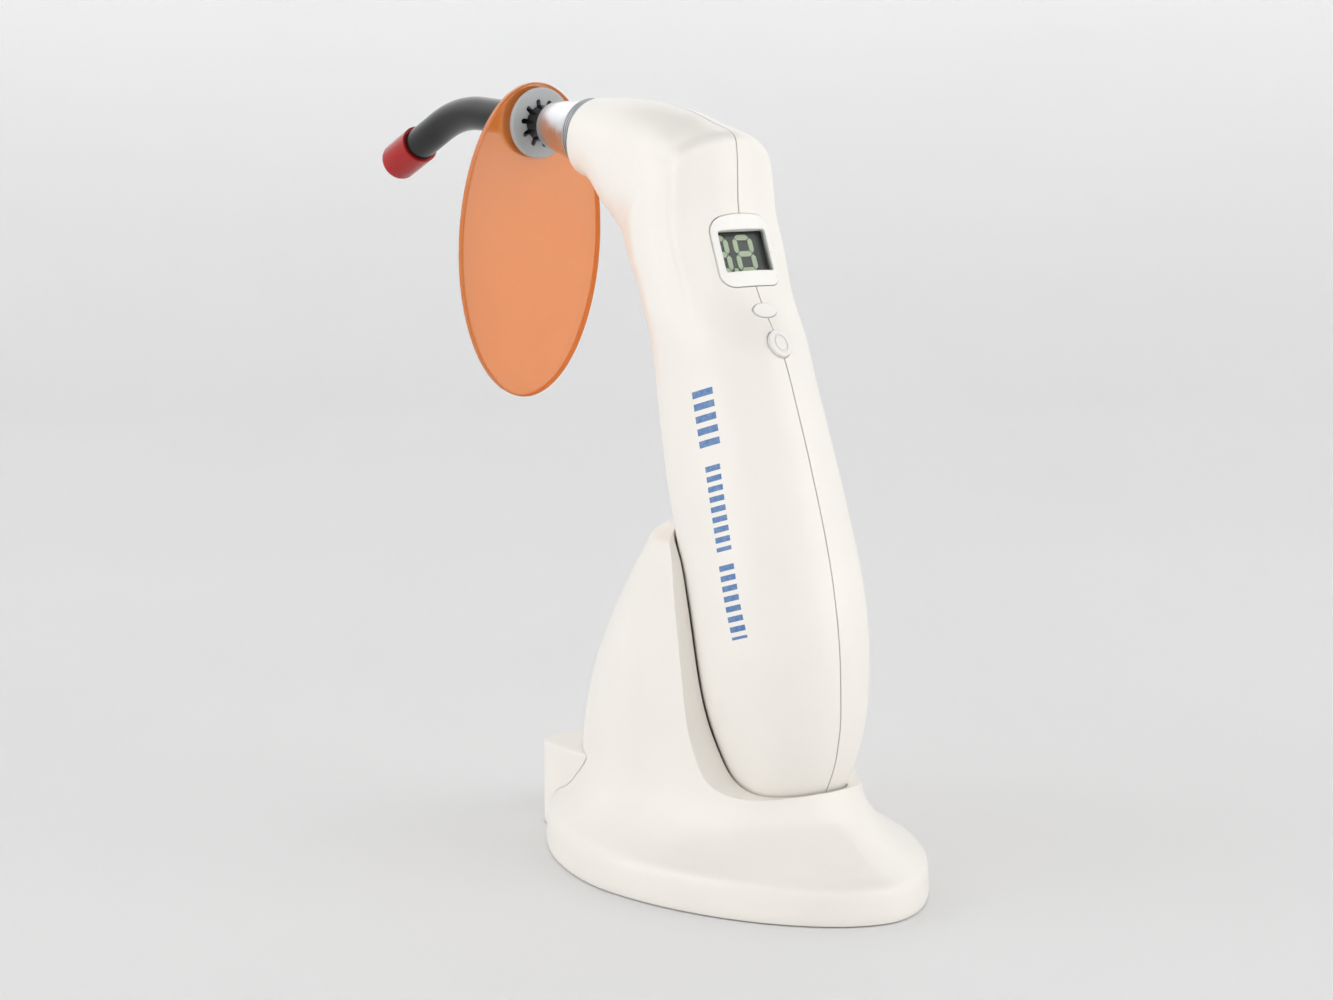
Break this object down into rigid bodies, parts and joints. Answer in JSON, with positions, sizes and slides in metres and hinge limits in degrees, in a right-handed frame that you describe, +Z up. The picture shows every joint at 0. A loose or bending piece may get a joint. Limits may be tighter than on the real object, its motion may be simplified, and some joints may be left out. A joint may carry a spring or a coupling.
{
  "type": "dental curing light",
  "caption": "Cordless light-curing handpiece with a bent light guide, oval orange glare shield and digital display, standing in a finned charging stand.",
  "frame": {"origin": "centre of the stand's footprint, on the floor under its rubber pad", "axes": "+Z up; the light guide points along -X and the display faces +X; +Y is the handpiece's right-hand side seen from the display"},
  "size_m": [0.1997, 0.0722, 0.1737],
  "materials": {
    "body_white": "satin",
    "body_white_printed": "satin with pale blue printed bars",
    "bezel_white": "satin",
    "button_white": "satin",
    "underside_grey": "fine texture",
    "foot_rubber": "matt",
    "screw_steel": "zinc plated",
    "ballast_iron": "as cast",
    "black_nylon": "matt",
    "contact_nickel": "nickel plated",
    "contact_gold": "gold plated",
    "spring_steel": "drawn wire",
    "circuit_green": "solder mask",
    "component_black": "moulded",
    "collar_grey": "satin turned",
    "seal_rubber": "matt",
    "nozzle_steel": "polished satin",
    "ferrule_steel": "turned",
    "lens_clear": "polished",
    "led_yellow": "phosphor dome",
    "led_board_white": "white solder mask",
    "heat_sink_aluminium": "turned",
    "window_clear": "polished",
    "lcd_dark": "glass faced",
    "lcd_segment_pale": "reflective",
    "battery_wrap": "shrink sleeve",
    "guide_black": "gloss",
    "guide_glass": "fibre bundle",
    "cap_red": "gloss",
    "shield_orange": "translucent, polished",
    "grommet_grey": "soft satin"
  },
  "bodies": {
    "stand": {"stand_shell": "body_white", "base_plate": "underside_grey", "rubber_pad": "foot_rubber", "base_screws": "screw_steel", "ballast_plate": "ballast_iron", "pin_block": "black_nylon", "pin_springs": "spring_steel", "charger_board": "circuit_green", "charger_components": "component_black", "inlet_block": "body_white", "power_jack": "black_nylon", "jack_pin": "contact_nickel"},
    "charge_pins": {"charge_pins": "contact_gold"},
    "handpiece": {"left_shell": "body_white_printed", "right_shell": "body_white", "case_screws": "screw_steel", "nose_collar": "collar_grey", "retaining_ring": "seal_rubber", "nozzle_cone": "nozzle_steel", "collimator_lens": "lens_clear", "led_emitter": "led_yellow", "led_board": "led_board_white", "heat_sink": "heat_sink_aluminium", "display_bezel": "bezel_white", "display_window": "window_clear", "lcd_module": "lcd_dark", "lcd_segments": "lcd_segment_pale", "main_board": "circuit_green", "board_chips": "component_black", "tact_switches": "component_black", "buzzer": "component_black", "battery_cell": "battery_wrap", "battery_tabs": "contact_nickel", "charge_contacts": "contact_gold"},
    "mode_button": {"mode_button": "button_white"},
    "power_button": {"power_button": "button_white"},
    "light_guide": {"guide_sleeve": "guide_black", "guide_core": "guide_glass", "guide_ferrule": "ferrule_steel"},
    "tip_cap": {"tip_cap": "cap_red"},
    "shield": {"shield_disc": "shield_orange", "shield_grommet": "grommet_grey"}
  },
  "joints": [
    {"name": "handpiece_lift", "type": "slide", "parent": "stand", "child": "handpiece", "axis": [0, 0, 1], "range_m": [0, 0.08]},
    {"name": "pin_travel", "type": "slide", "parent": "stand", "child": "charge_pins", "axis": [0, 0, 1], "range_m": [-0.0008, 0], "deforming": ["pin_springs"]},
    {"name": "mode_press", "type": "slide", "parent": "handpiece", "child": "mode_button", "axis": [-0.831, 0, -0.5563], "range_m": [0, 0.0005]},
    {"name": "power_press", "type": "slide", "parent": "handpiece", "child": "power_button", "axis": [-0.831, 0, -0.5563], "range_m": [0, 0.0005]},
    {"name": "guide_turn", "type": "hinge", "parent": "handpiece", "child": "light_guide", "pos_m": [-0.05343, 0, 0.1624], "axis": [0.9973, 0, -0.0732], "continuous": true},
    {"name": "shield_turn", "type": "hinge", "parent": "light_guide", "child": "shield", "pos_m": [-0.07587, 0, 0.16405], "axis": [0.9973, 0, -0.0732], "continuous": true},
    {"name": "cap_slide", "type": "slide", "parent": "light_guide", "child": "tip_cap", "axis": [-0.9143, 0, -0.4051], "range_m": [0, 0.02]}
  ]
}
